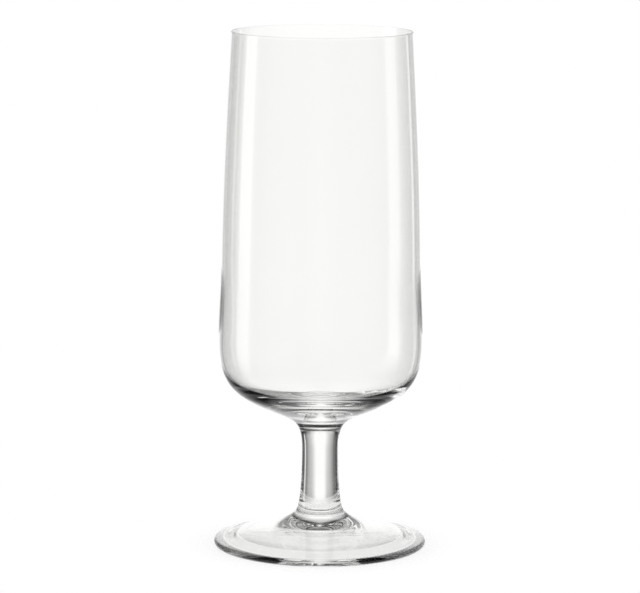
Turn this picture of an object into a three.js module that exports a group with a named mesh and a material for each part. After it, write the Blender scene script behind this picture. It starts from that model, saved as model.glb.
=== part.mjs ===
// Footed beer glass in clear soda-lime glass: a machine-blown bowl on a short solid stem and a pressed foot.
// Millimetres, +Z up, origin on the table under the middle of the foot.
import * as THREE from "three";

// Overall height, and the fire-polished bead that finishes the rim
const glassHeight = 175;
const beadRadius = 0.65;
const rimRadius = 30.12;
const rimLeanDegrees = 3.4;
const wallThickness = 0.65;

// Blown bowl: nearly straight wall, a slight belly low down, and a round shoulder into the base
const waistHeight = 95.8;
const waistRadius = 33.64;
const waistLeanDegrees = 0.6;
const bellyHeight = 72;
const bellyRadius = 34.5;
const bellyThickness = 1.35;
const shoulderDrop = 18.6;
const shoulderReach = 16.4;
const baseRadius = 13.6;
const baseHeight = 45.3;
const baseSlopeDegrees = 23.3;

// Inside of the bowl: the wall thickens down the shoulder into a nearly flat floor over the solid base
const floorHeight = 50.7;
const floorReach = 30;
const innerShoulderDrop = 17;

// Drawn stem, thinnest above its middle, fused to the bowl at the neck and to the foot at the ankle
const neckHeight = 40;
const neckRadius = 7.1;
const neckLeanDegrees = 21;
const stemWaistHeight = 30.5;
const stemWaistRadius = 6.17;
const ankleHeight = 12.5;
const ankleRadius = 7.76;
const ankleLeanDegrees = 25.5;
const stemEase = 0.17;

// Pressed foot: a rounded edge, a straight slope and a flare up to the ankle
const footRadius = 36;
const footEdgeRadius = 1.24;
const footSlopeDegrees = 15;
const flareRadius = 19.3;

// Hollow under the foot: up from the flat standing ring over a shoulder, then along the top to the middle
const bearingWidth = 2.1;
const hollowEdgeSlopeDegrees = 2;
const hollowShoulderRadius = 27.3;
const hollowShoulderHeight = 2.4;
const hollowShoulderSlopeDegrees = 11.5;
const hollowRise = 6.8;

// How finely the round forms are faceted
const facetsRound = 64;
const beadSteps = 8;
const wallSteps = 4;
const shoulderSteps = 10;
const floorSteps = 11;
const flareSteps = 6;
const stemSteps = 4;
const edgeSteps = 4;
const hollowSteps = 5;

// A curve leaves one station and reaches the next along their headings, by this share of their distance
const ease = 1 / 3;

const radians = THREE.MathUtils.degToRad;

// A station of the half profile: distance from the axis, height, and heading in degrees above the outward way
function station(radius, height, heading) {
  const angle = radians(heading);
  return {
    point: new THREE.Vector2(radius, height),
    heading: new THREE.Vector2(Math.cos(angle), Math.sin(angle)),
  };
}

// Points of a smooth curve between two stations, which leaves and arrives along their headings
function curveBetween(from, to, steps, leave, arrive) {
  const distance = from.point.distanceTo(to.point);
  const curve = new THREE.CubicBezierCurve(
    from.point,
    from.point.clone().addScaledVector(from.heading, leave ?? ease * distance),
    to.point.clone().addScaledVector(to.heading, -(arrive ?? ease * distance)),
    to.point,
  );
  return curve.getPoints(steps);
}

// Points of an arc about a centre, from one angle to another in degrees
function arc(centre, radius, fromAngle, toAngle, steps) {
  const curve = new THREE.EllipseCurve(
    centre.x, centre.y, radius, radius, radians(fromAngle), radians(toAngle), toAngle < fromAngle,
  );
  return curve.getPoints(steps);
}

// A closed half profile turned about the upright axis
function revolve(name, outline, material) {
  const profile = outline.filter((point, i) => i === 0 || point.distanceTo(outline[i - 1]) > 1e-4);
  for (const point of profile) {
    if (Math.abs(point.x) < 1e-9) point.x = 0;
  }
  const geometry = new THREE.LatheGeometry(profile, facetsRound);
  geometry.rotateX(Math.PI / 2);
  const mesh = new THREE.Mesh(geometry, material);
  mesh.name = name;
  return mesh;
}

const onAxis = (height) => new THREE.Vector2(0, height);

const neck = station(neckRadius, neckHeight, 90 - neckLeanDegrees);
const ankle = station(ankleRadius, ankleHeight, 90 + ankleLeanDegrees);

// Outer stations of the bowl, on the way up
const base = station(baseRadius, baseHeight, baseSlopeDegrees);
const belly = station(bellyRadius, bellyHeight, 90);
const waist = station(waistRadius, waistHeight, 90 + waistLeanDegrees);

// The bead stands a little proud of both faces of the wall, whose middle runs into the bead's centre
const beadCentre = new THREE.Vector2(rimRadius, glassHeight - beadRadius);
const beadMeeting = Math.acos(wallThickness / 2 / beadRadius);
const beadDrop = beadRadius * Math.sin(beadMeeting);
const beadAngle = THREE.MathUtils.radToDeg(beadMeeting);
const rimOutside = station(rimRadius + wallThickness / 2, beadCentre.y - beadDrop, 90 + rimLeanDegrees);
const rimInside = station(rimRadius - wallThickness / 2, beadCentre.y - beadDrop, 270 + rimLeanDegrees);

// Inner stations lie one wall thickness inside the outer ones, on the way down
const waistInside = station(waistRadius - wallThickness, waistHeight, 270 + waistLeanDegrees);
const bellyInside = station(bellyRadius - bellyThickness, bellyHeight, 270);
const floor = station(0, floorHeight, 180);

function makeBowl(material) {
  const outline = [
    onAxis(neckHeight),
    ...curveBetween(neck, base, flareSteps),
    ...curveBetween(base, belly, shoulderSteps, shoulderReach, shoulderDrop),
    ...curveBetween(belly, waist, wallSteps),
    ...curveBetween(waist, rimOutside, wallSteps),
    ...arc(beadCentre, beadRadius, -beadAngle, 180 + beadAngle, beadSteps),
    ...curveBetween(rimInside, waistInside, wallSteps),
    ...curveBetween(waistInside, bellyInside, wallSteps),
    ...curveBetween(bellyInside, floor, floorSteps, innerShoulderDrop, floorReach),
  ];
  return revolve("bowl", outline, material);
}

function makeStem(material) {
  const waistOfStem = station(stemWaistRadius, stemWaistHeight, 90);
  const shank = stemEase * ankle.point.distanceTo(waistOfStem.point);
  const outline = [
    onAxis(ankleHeight),
    ...curveBetween(ankle, waistOfStem, stemSteps, shank, shank),
    ...curveBetween(waistOfStem, neck, stemSteps),
    onAxis(neckHeight),
  ];
  return revolve("stem", outline, material);
}

function makeFoot(material) {
  const edgeCentre = new THREE.Vector2(footRadius - footEdgeRadius, footEdgeRadius);
  const edgeTop = 90 - footSlopeDegrees;
  const edge = [
    ...arc(edgeCentre, footEdgeRadius, -90, 0, edgeSteps),
    ...arc(edgeCentre, footEdgeRadius, 0, edgeTop, edgeSteps),
  ];
  const slopeStart = edge[edge.length - 1];
  const flareHeight = slopeStart.y + (slopeStart.x - flareRadius) * Math.tan(radians(footSlopeDegrees));
  const flare = station(flareRadius, flareHeight, 180 - footSlopeDegrees);
  const hollowMiddle = station(0, hollowRise, 0);
  const hollowShoulder = station(hollowShoulderRadius, hollowShoulderHeight, -hollowShoulderSlopeDegrees);
  const hollowEdge = station(edgeCentre.x - bearingWidth, 0, -hollowEdgeSlopeDegrees);
  const outline = [
    ...curveBetween(hollowMiddle, hollowShoulder, hollowSteps),
    ...curveBetween(hollowShoulder, hollowEdge, hollowSteps),
    ...edge,
    ...curveBetween(flare, ankle, flareSteps),
    onAxis(ankleHeight),
  ];
  return revolve("foot", outline, material);
}

const clearGlass = () =>
  new THREE.MeshStandardMaterial({ color: 0xf2f5f3, roughness: 0.02, transparent: true, opacity: 0.35 });

const group = new THREE.Group();
group.add(makeBowl(clearGlass()), makeStem(clearGlass()), makeFoot(clearGlass()));

export default group;
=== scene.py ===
"""Footed beer glass in clear soda-lime glass, with the plain studio it stands in."""

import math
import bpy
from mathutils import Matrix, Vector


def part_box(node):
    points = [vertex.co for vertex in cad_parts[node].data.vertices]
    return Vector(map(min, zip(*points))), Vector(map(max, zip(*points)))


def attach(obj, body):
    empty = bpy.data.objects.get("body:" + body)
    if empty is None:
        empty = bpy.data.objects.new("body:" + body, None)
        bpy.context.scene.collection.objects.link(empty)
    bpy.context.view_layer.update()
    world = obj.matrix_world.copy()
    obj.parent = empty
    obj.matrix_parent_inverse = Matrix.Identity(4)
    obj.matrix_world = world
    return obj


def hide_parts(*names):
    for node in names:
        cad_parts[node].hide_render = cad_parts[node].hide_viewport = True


bl_info = {
    "name": "Footed Beer Glass",
    "version": (1, 0, 0),
    "blender": (4, 5, 0),
    "location": "View3D > Sidebar > Beer Glass",
    "description": "Builds a footed beer glass and a plain pale studio round its packed frame",
    "category": "Add Mesh",
}

import bpy
from bpy.props import FloatProperty, FloatVectorProperty, IntProperty, PointerProperty
from bpy.types import Operator, Panel, PropertyGroup
from mathutils import Matrix, Vector

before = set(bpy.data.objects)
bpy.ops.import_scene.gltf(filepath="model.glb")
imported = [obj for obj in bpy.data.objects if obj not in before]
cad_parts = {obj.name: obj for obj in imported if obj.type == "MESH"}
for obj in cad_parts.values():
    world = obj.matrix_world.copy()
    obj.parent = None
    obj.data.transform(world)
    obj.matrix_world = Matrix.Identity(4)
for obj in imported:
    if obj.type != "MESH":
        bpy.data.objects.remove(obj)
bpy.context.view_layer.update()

MM = 0.001
GLASS_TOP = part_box("bowl")[1].z
FOOT_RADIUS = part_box("foot")[1].x


def linear(hex_colour):
    """An sRGB hex colour as linear red, green and blue."""
    channels = [int(hex_colour[i : i + 2], 16) / 255 for i in (1, 3, 5)]
    return [c / 12.92 if c <= 0.04045 else ((c + 0.055) / 1.055) ** 2.4 for c in channels]


def length(name, description, default, **more):
    """A size property in metres, shown in the scene's unit."""
    return FloatProperty(
        name=name,
        description=description,
        default=default,
        min=0,
        unit="LENGTH",
        subtype="DISTANCE",
        precision=5,
        **more,
    )


def angle(name, description, degrees):
    """An angle property, given in degrees."""
    return FloatProperty(
        name=name, description=description, default=math.radians(degrees), unit="ROTATION", subtype="ANGLE"
    )


def colour(name, description, hex_colour):
    """A colour property, given as an sRGB hex value."""
    return FloatVectorProperty(
        name=name,
        description=description,
        default=linear(hex_colour),
        size=3,
        min=0,
        max=1,
        subtype="COLOR",
    )


class BowlSizes(PropertyGroup):
    top: length("Top", "Height of the rim over the table", GLASS_TOP)
    bead_radius: length("Bead radius", "Half the thickness of the bead on the rim", 0.42 * MM)
    rim_radius: length("Rim radius", "Distance of the bead's centre from the axis", 30.12 * MM)
    rim_lean: angle("Rim lean", "Inward lean of the wall at the rim", 3.4)
    wall: length("Wall", "Thickness of the wall in its upper part", 0.65 * MM)
    waist_height: length("Waist height", "Height where the wall starts to close in", 95.8 * MM)
    waist_radius: length("Waist radius", "Outer radius of the bowl at its waist", 33.64 * MM)
    waist_lean: angle("Waist lean", "Inward lean of the wall at the waist", 0.6)
    belly_height: length("Belly height", "Height of the widest part", 72 * MM)
    belly_radius: length("Belly radius", "Outer radius of the widest part", 34.5 * MM)
    belly_wall: length("Belly wall", "Thickness of the wall at the widest part", 1.35 * MM)
    shoulder_drop: length("Shoulder drop", "How far the belly keeps its heading downwards", 18.6 * MM)
    shoulder_reach: length("Shoulder reach", "How far the base keeps its heading outwards", 16.4 * MM)
    base_height: length("Base height", "Height where the base turns into the neck", 45.3 * MM)
    base_radius: length("Base radius", "Outer radius where the base turns into the neck", 13.6 * MM)
    base_slope: angle("Base slope", "Rise of the base there", 23.3)
    floor_height: length("Floor height", "Height of the inside floor on the axis", 50.7 * MM)
    floor_reach: length("Floor reach", "How far the floor stays nearly flat", 30 * MM)
    inner_drop: length("Inner shoulder drop", "How far the inner wall keeps its heading downwards", 17 * MM)


class StemSizes(PropertyGroup):
    neck_height: length("Neck height", "Height where the stem meets the bowl", 40 * MM)
    neck_radius: length("Neck radius", "Radius where the stem meets the bowl", 7.1 * MM)
    neck_lean: angle("Neck lean", "Outward lean of the stem at the bowl", 21)
    waist_height: length("Waist height", "Height of the thinnest part", 30.5 * MM)
    waist_radius: length("Waist radius", "Radius of the thinnest part", 6.17 * MM)
    ankle_height: length("Ankle height", "Height where the stem meets the foot", 12.5 * MM)
    ankle_radius: length("Ankle radius", "Radius where the stem meets the foot", 7.76 * MM)
    ankle_lean: angle("Ankle lean", "Inward lean of the stem at the foot", 25.5)
    ease: FloatProperty(name="Ease", description="Share of its length over which the shank curves", default=0.17)


class FootSizes(PropertyGroup):
    radius: length("Radius", "Outer radius of the foot", FOOT_RADIUS)
    edge_radius: length("Edge radius", "Radius of the rounded edge", 1.24 * MM)
    slope: angle("Slope", "Rise of the top towards the stem", 15)
    flare_radius: length("Flare radius", "Radius where the slope starts to flare up", 19.3 * MM)
    bearing_width: length("Bearing width", "Width of the flat ring that it stands on", 2.1 * MM)
    hollow_edge_slope: angle("Hollow edge slope", "Rise of the hollow where it leaves that ring", 2)
    shoulder_radius: length("Hollow shoulder radius", "Radius of the shoulder inside the ring", 27.3 * MM)
    shoulder_height: length("Hollow shoulder height", "Height of that shoulder", 2.4 * MM)
    shoulder_slope: angle("Hollow shoulder slope", "Rise of the hollow there", 11.5)
    hollow_rise: length("Hollow rise", "Height of the hollow on the axis", 6.8 * MM)


class GlassFinish(PropertyGroup):
    tint: colour("Tint", "Colour that the clear glass gives what is seen through it", "#FFFFFE")
    polish_height: length("Polish height", "Height above which the blown wall is perfectly sharp", 60 * MM)
    wear_height: length("Wear height", "How far up the standing ring is scuffed", 0.12 * MM)
    segments: IntProperty(name="Segments", description="Faces round the axis", default=256, min=32)


class StudioSettings(PropertyGroup):
    floor_colour: colour("Floor", "Colour of the pale floor", "#FDFDFC")
    floor_radius: length("Floor radius", "Where the floor has faded into the backdrop", 48 * MM)
    fade_start: length("Fade start", "Where the floor starts to fade into the backdrop", 35 * MM)
    floor_backlight: FloatProperty(
        name="Floor backlight", description="Share of the floor lit from behind", default=0.75
    )
    camera_distance: length("Camera distance", "Distance of the camera in front of the axis", 1.160)
    camera_height: length("Camera height", "Height of the camera over the floor", 0.2649)
    camera_pitch: angle("Camera pitch", "How far the camera looks down", 8.80)
    camera_roll: angle("Camera roll", "How far the camera is tilted sideways", 0.31)
    camera_lens: FloatProperty(name="Lens", description="Focal length in millimetres", default=195.5)
    camera_shift: FloatProperty(name="Shift", description="Sideways shift of the picture", default=-0.0014)


def station(radius, height, heading):
    """A point of the half profile and the way the outline runs there."""
    return Vector((radius, height)), Vector((math.cos(heading), math.sin(heading)))


def curve_between(start, end, steps, leave=None, arrive=None):
    """Points and headings of a smooth curve that leaves and arrives along its stations' headings."""
    distance = (end[0] - start[0]).length
    leave = distance / 3 if leave is None else leave
    arrive = distance / 3 if arrive is None else arrive
    p = [start[0], start[0] + start[1] * leave, end[0] - end[1] * arrive, end[0]]
    run = []
    for i in range(steps + 1):
        t = i / steps
        u = 1 - t
        point = u**3 * p[0] + 3 * u * u * t * p[1] + 3 * u * t * t * p[2] + t**3 * p[3]
        heading = u * u * (p[1] - p[0]) + 2 * u * t * (p[2] - p[1]) + t * t * (p[3] - p[2])
        run.append((point, heading.normalized()))
    return run


def arc(centre, radius, start, end, steps):
    """Points and headings of an arc about a centre, between two angles."""
    way = 1 if end > start else -1
    run = []
    for i in range(steps + 1):
        a = start + (end - start) * i / steps
        point = Vector((centre[0] + radius * math.cos(a), centre[1] + radius * math.sin(a)))
        run.append((point, way * Vector((-math.sin(a), math.cos(a)))))
    return run


def straight(start, end):
    """A straight run between two points."""
    heading = (end - start).normalized()
    return [(start, heading), (end, heading)]


def on_axis(height):
    return Vector((0, height))


def smooth_run(*curves):
    """Joins curves that meet without a corner into one run, and drops the doubled points."""
    run = list(curves[0])
    for curve in curves[1:]:
        run += curve[1:]
    return run


def turned_piece(name, runs, segments, materials):
    """A closed mesh turned about the axis. Each run is (points with headings, material number); its shading is
    smooth inside the run and breaks where one run meets the next."""
    rings = []
    corners = []
    for run, material in runs:
        for i, (point, heading) in enumerate(run):
            if i == 0 and rings and (rings[-1] - point).length < 1e-8:
                continue
            rings.append(point)
            if i > 0:
                corners.append((len(rings) - 2, len(rings) - 1, run[i - 1][1], heading, material))
    vertices = []
    first = []
    for point in rings:
        first.append(len(vertices))
        if point.x < 1e-9:
            vertices.append(Vector((0, 0, point.y)))
        else:
            for k in range(segments):
                a = 2 * math.pi * k / segments
                vertices.append(Vector((point.x * math.cos(a), point.x * math.sin(a), point.y)))
    faces, normals, numbers = [], [], []

    def corner(ring, k, heading):
        a = 2 * math.pi * k / segments
        index = first[ring] + (k % segments if rings[ring].x >= 1e-9 else 0)
        if rings[ring].x < 1e-9:
            return index, Vector((0, 0, -1 if heading.x > 0 else 1))
        return index, Vector((heading.y * math.cos(a), heading.y * math.sin(a), -heading.x))

    for low, high, leaving, reaching, material in corners:
        for k in range(segments):
            loop = []
            if rings[low].x >= 1e-9:
                loop += [corner(low, k, leaving), corner(low, k + 1, leaving)]
            else:
                loop.append(corner(low, k, leaving))
            if rings[high].x >= 1e-9:
                loop += [corner(high, k + 1, reaching), corner(high, k, reaching)]
            else:
                loop.append(corner(high, k, reaching))
            faces.append([index for index, _ in loop])
            normals += [normal for _, normal in loop]
            numbers.append(material)
    mesh = bpy.data.meshes.new(name)
    mesh.from_pydata(vertices, [], faces)
    for material in materials:
        mesh.materials.append(material)
    mesh.polygons.foreach_set("material_index", numbers)
    mesh.polygons.foreach_set("use_smooth", [True] * len(faces))
    mesh.normals_split_custom_set(normals)
    mesh.update()
    piece = bpy.data.objects.new(name, mesh)
    bpy.context.scene.collection.objects.link(piece)
    return piece


def add_node(tree, kind, inputs=None, links=None, **settings):
    """Adds one node with its settings, its input values and its links from other nodes' sockets."""
    node = tree.nodes.new(kind)
    for name, value in settings.items():
        setattr(node, name, value)
    for name, value in (inputs or {}).items():
        node.inputs[name].default_value = value
    for name, socket in (links or {}).items():
        tree.links.new(socket, node.inputs[name])
    return node


def new_material(name):
    """An empty node material with its output node."""
    material = bpy.data.materials.new(name)
    material.use_nodes = True
    material.node_tree.nodes.clear()
    output = add_node(material.node_tree, "ShaderNodeOutputMaterial")
    return material, material.node_tree, output


# Height over which the handled finish gives way to the sharp polish of the wall
POLISH_BLEND = 4 * MM


def fire_polished_glass(finish):
    """Soda-lime glass, blown or pressed hot and fire-polished: clear, with a sharp gloss inside and out.
    Only the ring that it stands on is scuffed dull by tables and shelves."""
    material = bpy.data.materials.get("soda_lime_glass_fire_polished")
    if material:
        return material
    material, tree, output = new_material("soda_lime_glass_fire_polished")
    position = add_node(tree, "ShaderNodeTexCoord").outputs["Object"]
    # faint cloudiness on the base, stem and foot from handling and stacking, in patches about 20 mm wide; the wall
    # above keeps its sharp fire polish
    patches = add_node(
        tree, "ShaderNodeTexNoise", {"Scale": 1 / 0.020, "Detail": 2.0}, {"Vector": position}
    )
    haze = add_node(
        tree,
        "ShaderNodeMapRange",
        {"From Min": 0.45, "From Max": 0.8, "To Min": 0.02, "To Max": 0.03},
        {"Value": patches.outputs["Fac"]},
    )
    # scuffs on the standing ring, finer than the render shows and so drawn 0.5 mm wide
    height = add_node(tree, "ShaderNodeSeparateXYZ", links={"Vector": position}).outputs["Z"]
    handled = add_node(
        tree,
        "ShaderNodeMapRange",
        {
            "From Min": finish.polish_height - POLISH_BLEND,
            "From Max": finish.polish_height,
            "To Min": 1.0,
            "To Max": 0.0,
        },
        {"Value": height},
    )
    cloudy = add_node(
        tree, "ShaderNodeMath", links={0: haze.outputs["Result"], 1: handled.outputs["Result"]}, operation="MULTIPLY"
    )
    ring = add_node(
        tree,
        "ShaderNodeMapRange",
        {"From Min": 0.0, "From Max": finish.wear_height, "To Min": 1.0, "To Max": 0.0},
        {"Value": height},
    )
    scuffs = add_node(
        tree, "ShaderNodeTexNoise", {"Scale": 1 / 0.0005, "Detail": 3.0}, {"Vector": position}
    )
    worn = add_node(
        tree,
        "ShaderNodeMath",
        links={0: ring.outputs["Result"], 1: scuffs.outputs["Fac"]},
        operation="MULTIPLY",
    )
    roughness = add_node(
        tree,
        "ShaderNodeMath",
        {1: 0.5},
        {0: worn.outputs["Value"], 2: cloudy.outputs["Value"]},
        operation="MULTIPLY_ADD",
    )
    glass = add_node(
        tree,
        "ShaderNodeBsdfPrincipled",
        {"Base Color": (*finish.tint, 1), "IOR": 1.52, "Transmission Weight": 1.0},
        {"Roughness": roughness.outputs["Value"]},
    )
    tree.links.new(glass.outputs["BSDF"], output.inputs["Surface"])
    return material


def fused_joint():
    """The plane where two gathers were fused hot: one glass, so light passes it unbent and nothing shows."""
    material = bpy.data.materials.get("soda_lime_glass_fused")
    if material:
        return material
    material, tree, output = new_material("soda_lime_glass_fused")
    joint = add_node(tree, "ShaderNodeBsdfTransparent")
    tree.links.new(joint.outputs["BSDF"], output.inputs["Surface"])
    return material


def settle(piece, node):
    """A finished piece stands for its solid and rides on the glass."""
    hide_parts(node)
    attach(piece, "root")


def neck_station(stem):
    return station(stem.neck_radius, stem.neck_height, math.pi / 2 - stem.neck_lean)


def ankle_station(stem):
    return station(stem.ankle_radius, stem.ankle_height, math.pi / 2 + stem.ankle_lean)


class BEERGLASS_OT_bowl(Operator):
    """Make the blown bowl: bead, thin wall, belly, shoulder and thick base"""

    bl_idname = "beerglass.bowl"
    bl_label = "Blown Bowl"

    def execute(self, context):
        scene = context.scene
        bowl, finish = scene.beer_glass_bowl, scene.beer_glass_finish
        neck = neck_station(scene.beer_glass_stem)
        upright = math.pi / 2
        base = station(bowl.base_radius, bowl.base_height, bowl.base_slope)
        belly = station(bowl.belly_radius, bowl.belly_height, upright)
        waist = station(bowl.waist_radius, bowl.waist_height, upright + bowl.waist_lean)
        bead = Vector((bowl.rim_radius, bowl.top - bowl.bead_radius))
        meeting = math.acos(bowl.wall / 2 / bowl.bead_radius)
        rim_height = bead.y - bowl.bead_radius * math.sin(meeting)
        rim_out = station(bowl.rim_radius + bowl.wall / 2, rim_height, upright + bowl.rim_lean)
        rim_in = station(bowl.rim_radius - bowl.wall / 2, rim_height, 3 * upright + bowl.rim_lean)
        waist_in = station(bowl.waist_radius - bowl.wall, bowl.waist_height, 3 * upright + bowl.waist_lean)
        belly_in = station(bowl.belly_radius - bowl.belly_wall, bowl.belly_height, 3 * upright)
        floor = station(0, bowl.floor_height, math.pi)
        outside = smooth_run(
            curve_between(neck, base, 14),
            curve_between(base, belly, 40, bowl.shoulder_reach, bowl.shoulder_drop),
            curve_between(belly, waist, 10),
            curve_between(waist, rim_out, 14),
        )
        rim = arc(bead, bowl.bead_radius, -meeting, math.pi + meeting, 24)
        inside = smooth_run(
            curve_between(rim_in, waist_in, 14),
            curve_between(waist_in, belly_in, 10),
            curve_between(belly_in, floor, 56, bowl.inner_drop, bowl.floor_reach),
        )
        weld = straight(on_axis(neck[0].y), neck[0])
        piece = turned_piece(
            "blown_bowl",
            [(weld, 1), (outside, 0), (rim, 0), (inside, 0)],
            finish.segments,
            [fire_polished_glass(finish), fused_joint()],
        )
        settle(piece, "bowl")
        return {"FINISHED"}


class BEERGLASS_OT_stem(Operator):
    """Make the solid drawn stem"""

    bl_idname = "beerglass.stem"
    bl_label = "Drawn Stem"

    def execute(self, context):
        scene = context.scene
        stem, finish = scene.beer_glass_stem, scene.beer_glass_finish
        neck, ankle = neck_station(stem), ankle_station(stem)
        waist = station(stem.waist_radius, stem.waist_height, math.pi / 2)
        shank = stem.ease * (waist[0] - ankle[0]).length
        side = smooth_run(
            curve_between(ankle, waist, 24, shank, shank),
            curve_between(waist, neck, 24),
        )
        piece = turned_piece(
            "drawn_stem",
            [(straight(on_axis(ankle[0].y), ankle[0]), 1), (side, 0), (straight(neck[0], on_axis(neck[0].y)), 1)],
            finish.segments,
            [fire_polished_glass(finish), fused_joint()],
        )
        settle(piece, "stem")
        return {"FINISHED"}


class BEERGLASS_OT_foot(Operator):
    """Make the pressed foot: rounded edge, sloping top and hollow underside"""

    bl_idname = "beerglass.foot"
    bl_label = "Pressed Foot"

    def execute(self, context):
        scene = context.scene
        foot, finish = scene.beer_glass_foot, scene.beer_glass_finish
        ankle = ankle_station(scene.beer_glass_stem)
        edge = Vector((foot.radius - foot.edge_radius, foot.edge_radius))
        edge_top = math.pi / 2 - foot.slope
        middle = station(0, foot.hollow_rise, 0)
        shoulder = station(foot.shoulder_radius, foot.shoulder_height, -foot.shoulder_slope)
        hollow_edge = station(edge.x - foot.bearing_width, 0, -foot.hollow_edge_slope)
        round_edge = arc(edge, foot.edge_radius, -math.pi / 2, edge_top, 40)
        slope_start = round_edge[-1][0]
        flare_height = slope_start.y + (slope_start.x - foot.flare_radius) * math.tan(foot.slope)
        flare = station(foot.flare_radius, flare_height, math.pi - foot.slope)
        hollow = smooth_run(
            curve_between(middle, shoulder, 24),
            curve_between(shoulder, hollow_edge, 16),
        )
        bearing = straight(hollow[-1][0], round_edge[0][0])
        top = smooth_run(
            round_edge,
            straight(slope_start, flare[0]),
            curve_between(flare, ankle, 24),
        )
        piece = turned_piece(
            "pressed_foot",
            [(hollow, 0), (bearing, 0), (top, 0), (straight(ankle[0], on_axis(ankle[0].y)), 1)],
            finish.segments,
            [fire_polished_glass(finish), fused_joint()],
        )
        settle(piece, "foot")
        return {"FINISHED"}


def matt_pale_floor(studio):
    """Seamless paper, matt and nearly white, which fades into the backdrop away from the glass. It is lit from
    behind as well, so that only a faint shadow is left, and glass shows it as bright as the camera does."""
    material, tree, output = new_material("seamless_paper_matt")
    position = add_node(tree, "ShaderNodeTexCoord").outputs["Object"]
    radius = add_node(tree, "ShaderNodeVectorMath", links={0: position}, operation="LENGTH")
    fade = add_node(
        tree,
        "ShaderNodeMapRange",
        {"From Min": studio.fade_start, "From Max": studio.floor_radius, "To Min": 0.0, "To Max": 1.0},
        {"Value": radius.outputs["Value"]},
        interpolation_type="SMOOTHSTEP",
    )
    paper = add_node(
        tree,
        "ShaderNodeBsdfPrincipled",
        {"Base Color": (*studio.floor_colour, 1), "Roughness": 0.9, "Specular IOR Level": 0.0},
    )
    path = add_node(tree, "ShaderNodeLightPath").outputs
    mirrored = add_node(
        tree,
        "ShaderNodeMath",
        links={0: path["Is Glossy Ray"], 1: path["Is Transmission Ray"]},
        operation="MAXIMUM",
    )
    seen = add_node(
        tree,
        "ShaderNodeMath",
        links={0: path["Is Camera Ray"], 1: mirrored.outputs["Value"]},
        operation="MAXIMUM",
    )
    backlit = add_node(
        tree, "ShaderNodeMath", {1: studio.floor_backlight}, {0: seen.outputs["Value"]}, operation="MULTIPLY"
    )
    white = add_node(tree, "ShaderNodeEmission", {"Color": (1, 1, 1, 1), "Strength": 1.0})
    lit = add_node(
        tree,
        "ShaderNodeMixShader",
        links={0: backlit.outputs["Value"], 1: paper.outputs["BSDF"], 2: white.outputs["Emission"]},
    )
    clear = add_node(tree, "ShaderNodeBsdfTransparent")
    mix = add_node(
        tree,
        "ShaderNodeMixShader",
        links={0: fade.outputs["Result"], 1: lit.outputs["Shader"], 2: clear.outputs["BSDF"]},
    )
    tree.links.new(mix.outputs["Shader"], output.inputs["Surface"])
    return material


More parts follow.
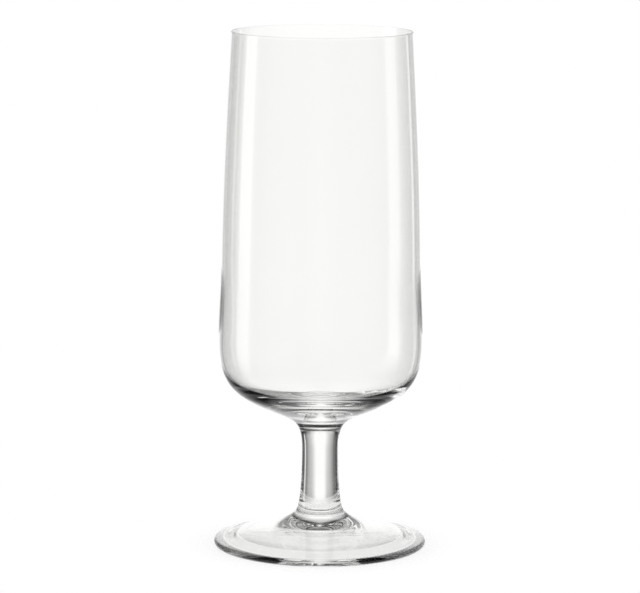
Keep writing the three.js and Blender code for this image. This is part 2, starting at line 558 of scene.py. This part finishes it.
# Brightness of the studio: rows by elevation in degrees, each by azimuth in degrees from straight behind the glass,
# positive to the right. A white backdrop stands behind, dark flags beside it, and soft strip lights left and right.
STUDIO_LEVELS = [
    (-45, [
        (-180, 0.3), (-165, 0.45), (-110, 0.6), (-84, 0.7), (-76, 0.45), (-60, 0.08), (-36, 0.03), (-24, 0.18),
        (-12, 0.3), (-8, 0.8), (-4, 1.05), (3, 1.05), (7, 0.6), (12, 0.12), (20, 0.3), (28, 0.28), (34, 0.12),
        (41, 0.3), (48, 0.2), (60, 0.1), (84, 0.25), (110, 0.6), (150, 0.6), (180, 0.3),
    ]),
    (-20, [
        (-180, 0.25), (-150, 0.3), (-132, 0.4), (-110, 0.4), (-98, 0.3), (-92, 0.45), (-85, 0.95), (-76, 0.9),
        (-70, 0.4), (-65, 0.05), (-56, 0.02), (-46, 0.15), (-38, 0.15), (-32, 0.3), (-24, 0.5), (-16, 0.6),
        (-12, 0.85), (-8, 1.05), (8, 1.05), (12, 0.8), (18, 0.55), (28, 0.45), (36, 0.2), (41, 0.25),
        (43, 0.7), (47, 0.7), (49, 0.15), (64, 0.05), (90, 0.22), (125, 0.35), (164, 0.35), (180, 0.25),
    ]),
    (-6, [
        (-180, 0.35), (-160, 0.25), (-130, 0.25), (-98, 0.25), (-92, 0.45), (-90.5, 0.7), (-89, 1.35),
        (-70.5, 1.35), (-69, 0.6), (-61, 0.04), (-52, 0.04), (-47, 0.15), (-38, 0.2), (-32, 0.38), (-26, 0.52),
        (-20, 0.67), (-15, 0.86), (-10, 1.06), (10, 1.06), (15, 0.86), (20, 0.67), (26, 0.52), (32, 0.38),
        (36, 0.2), (40.5, 0.12), (42, 0.9), (47, 0.9), (48.5, 0.06), (72, 0.1), (88, 0.25), (100, 0.06),
        (180, 0.35),
    ]),
    (5, [
        (-180, 0.2), (-130, 0.2), (-98, 0.2), (-91, 0.4), (-89, 1.35), (-70.5, 1.35), (-69, 0.5), (-61, 0.03),
        (-47, 0.1), (-38, 0.15), (-32, 0.35), (-26, 0.5), (-20, 0.65), (-15, 0.86), (-10, 1.06), (10, 1.06),
        (15, 0.86), (20, 0.67), (26, 0.52), (32, 0.38), (36, 0.2), (40.5, 0.1), (42, 0.8), (47, 0.8),
        (48.5, 0.06), (72, 0.1), (88, 0.25), (100, 0.06), (180, 0.2),
    ]),
    (16, [
        (-180, 0.1), (-150, 0.12), (-110, 0.12), (-98, 0.2), (-90, 0.65), (-80, 0.7), (-70, 0.5), (-62, 0.2),
        (-56, 0.03), (-40, 0.03), (-33, 0.35), (-26, 0.6), (-16, 0.75), (-8, 1), (8, 1), (14, 0.75),
        (20, 0.55), (24, 0.3), (30, 0.2), (36, 0.03), (60, 0.02), (90, 0.1), (130, 0.15), (180, 0.1),
    ]),
    (38, [
        (-180, 0.03), (-130, 0.08), (-88, 0.2), (-74, 0.18), (-60, 0.05), (-36, 0.1), (-28, 0.4), (-12, 0.7),
        (8, 0.7), (20, 0.55), (36, 0.18), (42, 0.03), (90, 0.03), (130, 0.06), (180, 0.03),
    ]),
    (70, [
        (-180, 0.05), (-60, 0.05), (-28, 0.35), (0, 0.6), (16, 0.35), (36, 0.1), (60, 0.05), (180, 0.05),
    ]),
]
BRIGHTEST = 1.4
FLOOR_SIDES = 128
FLOOR_GAP = 0.05 * MM

# The white ground itself, as it shows through clear walls from every side
GROUND_LEVEL = 1.06


def brightness_ramp(tree, fac, stops, low, high, top):
    """A colour ramp that gives a grey brightness for a value between low and high."""
    node = add_node(tree, "ShaderNodeValToRGB", links={"Fac": fac})
    ramp = node.color_ramp
    while len(ramp.elements) > 1:
        ramp.elements.remove(ramp.elements[0])
    for i, (value, level) in enumerate(stops):
        place = (value - low) / (high - low)
        if i == 0:
            element = ramp.elements[0]
            element.position = place
        else:
            element = ramp.elements.new(place)
        element.color = (level / top, level / top, level / top, 1)
    return node.outputs["Color"]


def studio_world():
    """White backdrop, dark flags beside it and tall soft lights, as light from far away in each direction."""
    world = bpy.data.worlds.new("studio")
    world.use_nodes = True
    tree = world.node_tree
    tree.nodes.clear()
    direction = add_node(tree, "ShaderNodeTexCoord").outputs["Generated"]
    part = add_node(tree, "ShaderNodeSeparateXYZ", links={"Vector": direction}).outputs
    azimuth = add_node(
        tree, "ShaderNodeMath", links={0: part["X"], 1: part["Y"]}, operation="ARCTAN2"
    ).outputs["Value"]
    round_fac = add_node(
        tree,
        "ShaderNodeMapRange",
        {"From Min": -math.pi, "From Max": math.pi},
        {"Value": azimuth},
    ).outputs["Result"]
    elevation = add_node(tree, "ShaderNodeMath", links={0: part["Z"]}, operation="ARCSINE").outputs["Value"]
    studio = None
    for height, stops in STUDIO_LEVELS:
        level = brightness_ramp(tree, round_fac, stops, -180, 180, BRIGHTEST)
        if studio is None:
            studio = level
        else:
            rise = add_node(
                tree,
                "ShaderNodeMapRange",
                {"From Min": math.radians(lower), "From Max": math.radians(height)},
                {"Value": elevation},
            )
            blend = add_node(tree, "ShaderNodeMix", links={"Factor": rise.outputs["Result"]}, data_type="RGBA")
            tree.links.new(studio, blend.inputs[6])
            tree.links.new(level, blend.inputs[7])
            studio = blend.outputs[2]
        lower = height
    bright = add_node(
        tree, "ShaderNodeVectorMath", {"Scale": BRIGHTEST}, {0: studio}, operation="SCALE"
    ).outputs["Vector"]
    path = add_node(tree, "ShaderNodeLightPath").outputs
    through = add_node(
        tree,
        "ShaderNodeMath",
        links={0: path["Is Glossy Ray"], 1: path["Is Transmission Ray"]},
        operation="MAXIMUM",
    ).outputs["Value"]
    # Two thin walls crossed without a reflection bend light hardly at all, and nor does one, which is known by its
    # sharp polish. The white ground shows through them from every side; stem, base and foot show the studio.
    unreflected = add_node(
        tree, "ShaderNodeMath", {1: 0.5}, {0: path["Glossy Depth"]}, operation="LESS_THAN"
    ).outputs["Value"]
    two_walls = add_node(
        tree, "ShaderNodeMath", {1: 4.0, 2: 0.5}, {0: path["Transmission Depth"]}, operation="COMPARE"
    ).outputs["Value"]
    one_wall = add_node(
        tree, "ShaderNodeMath", {1: 3.5}, {0: path["Transmission Depth"]}, operation="LESS_THAN"
    ).outputs["Value"]
    polished = add_node(
        tree, "ShaderNodeMath", links={0: one_wall, 1: path["Is Singular Ray"]}, operation="MULTIPLY"
    ).outputs["Value"]
    walls = add_node(
        tree, "ShaderNodeMath", links={0: two_walls, 1: polished}, operation="MAXIMUM"
    ).outputs["Value"]
    crossed = add_node(
        tree, "ShaderNodeMath", links={0: walls, 1: path["Is Transmission Ray"]}, operation="MULTIPLY"
    ).outputs["Value"]
    clear = add_node(
        tree, "ShaderNodeMath", links={0: unreflected, 1: crossed}, operation="MULTIPLY"
    ).outputs["Value"]
    ground = add_node(tree, "ShaderNodeMix", links={"Factor": clear}, data_type="RGBA")
    tree.links.new(bright, ground.inputs[6])
    ground.inputs[7].default_value = (GROUND_LEVEL, GROUND_LEVEL, GROUND_LEVEL, 1)
    bright = ground.outputs[2]
    # light that the floor sends on counts as plain light, also under the foot
    direct = add_node(
        tree, "ShaderNodeMath", {1: 0.5}, {0: path["Diffuse Depth"]}, operation="LESS_THAN"
    ).outputs["Value"]
    shown = add_node(
        tree, "ShaderNodeMath", links={0: through, 1: direct}, operation="MULTIPLY"
    ).outputs["Value"]
    mix = add_node(
        tree, "ShaderNodeMix", links={"Factor": shown}, data_type="RGBA"
    )
    mix.inputs[6].default_value = (1, 1, 1, 1)
    tree.links.new(bright, mix.inputs[7])
    background = add_node(
        tree, "ShaderNodeBackground", {"Strength": 1.0}, {"Color": mix.outputs[2]}
    )
    output = add_node(tree, "ShaderNodeOutputWorld")
    tree.links.new(background.outputs["Background"], output.inputs["Surface"])
    return world


class BEERGLASS_OT_stage(Operator):
    """Make the pale floor, the studio light and the camera"""

    bl_idname = "beerglass.stage"
    bl_label = "Studio and Camera"

    def execute(self, context):
        scene = context.scene
        studio = scene.beer_glass_studio
        mesh = bpy.data.meshes.new("floor")
        turns = [2 * math.pi * k / FLOOR_SIDES for k in range(FLOOR_SIDES)]
        radius = studio.floor_radius
        corners = [(radius * math.cos(turn), radius * math.sin(turn), 0) for turn in turns]
        mesh.from_pydata(corners, [], [list(range(FLOOR_SIDES))])
        mesh.materials.append(matt_pale_floor(studio))
        floor = bpy.data.objects.new("floor", mesh)
        floor.location.z = -FLOOR_GAP
        scene.collection.objects.link(floor)
        scene.world = studio_world()
        scene.view_settings.view_transform = "Standard"
        camera_data = bpy.data.cameras.new("camera")
        camera_data.lens = studio.camera_lens
        camera_data.sensor_width = 36
        camera_data.shift_x = studio.camera_shift
        camera_data.clip_start = 0.05
        camera = bpy.data.objects.new("camera", camera_data)
        scene.collection.objects.link(camera)
        tilt = Matrix.Rotation(math.pi / 2 - studio.camera_pitch, 4, "X")
        roll = Matrix.Rotation(studio.camera_roll, 4, "Z")
        place = Matrix.Translation((0, -studio.camera_distance, studio.camera_height))
        camera.matrix_world = place @ tilt @ roll
        scene.camera = camera
        scene.cycles.max_bounces = 16
        scene.cycles.transmission_bounces = 16
        scene.cycles.glossy_bounces = 16
        scene.cycles.transparent_max_bounces = 32
        return {"FINISHED"}


class BEERGLASS_PT_panel(Panel):
    """The glass's sizes and the buttons that build it"""

    bl_label = "Footed Beer Glass"
    bl_space_type = "VIEW_3D"
    bl_region_type = "UI"
    bl_category = "Beer Glass"

    def draw(self, context):
        scene = context.scene
        for operator in OPERATORS:
            self.layout.operator(operator.bl_idname)
        for name, _ in SETTINGS:
            box = self.layout.box()
            settings = getattr(scene, name)
            for key in settings.__annotations__:
                box.prop(settings, key)


SETTINGS = [
    ("beer_glass_bowl", BowlSizes),
    ("beer_glass_stem", StemSizes),
    ("beer_glass_foot", FootSizes),
    ("beer_glass_finish", GlassFinish),
    ("beer_glass_studio", StudioSettings),
]
OPERATORS = [BEERGLASS_OT_bowl, BEERGLASS_OT_stem, BEERGLASS_OT_foot, BEERGLASS_OT_stage]


def register():
    for name, group in SETTINGS:
        bpy.utils.register_class(group)
        setattr(bpy.types.Scene, name, PointerProperty(type=group))
    for operator in OPERATORS:
        bpy.utils.register_class(operator)
    bpy.utils.register_class(BEERGLASS_PT_panel)


def unregister():
    bpy.utils.unregister_class(BEERGLASS_PT_panel)
    for operator in reversed(OPERATORS):
        bpy.utils.unregister_class(operator)
    for name, group in reversed(SETTINGS):
        delattr(bpy.types.Scene, name)
        bpy.utils.unregister_class(group)


def main():
    register()
    bpy.ops.beerglass.bowl()
    bpy.ops.beerglass.stem()
    bpy.ops.beerglass.foot()
    bpy.ops.beerglass.stage()


if __name__ == "__main__":
    main()
